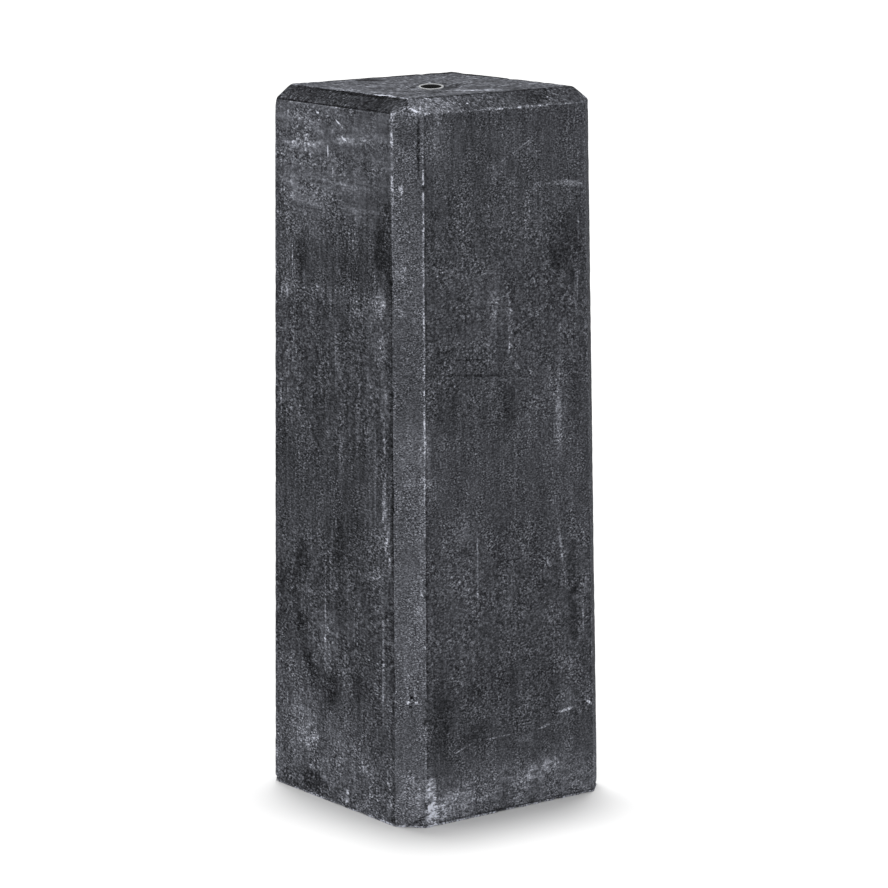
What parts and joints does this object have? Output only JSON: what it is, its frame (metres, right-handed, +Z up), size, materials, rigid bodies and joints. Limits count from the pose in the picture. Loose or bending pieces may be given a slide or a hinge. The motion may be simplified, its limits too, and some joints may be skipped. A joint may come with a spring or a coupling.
{
  "type": "column base block",
  "caption": "Tall square concrete column base, slightly wider at the foot, with chamfered corners, a bevelled top edge and a round tube socket cast into the top.",
  "frame": {"origin": "middle of the underside, on the ground", "axes": "+Z up along the block; the four sides face -X, +X, -Y and +Y, and the picture looks at the corner between the -X side on its left and the -Y side on its right"},
  "size_m": [0.2136, 0.2136, 0.6],
  "materials": {
    "concrete": "matt cast concrete, anthracite through and through, with pale cement haze, faint upright streaks, small air holes and worn arrises",
    "tube_steel": "dull zinc coated steel, pale at the rim and dark inside"
  },
  "bodies": {
    "root": {"concrete_block": "concrete", "tube_socket": "tube_steel"}
  },
  "joints": []
}
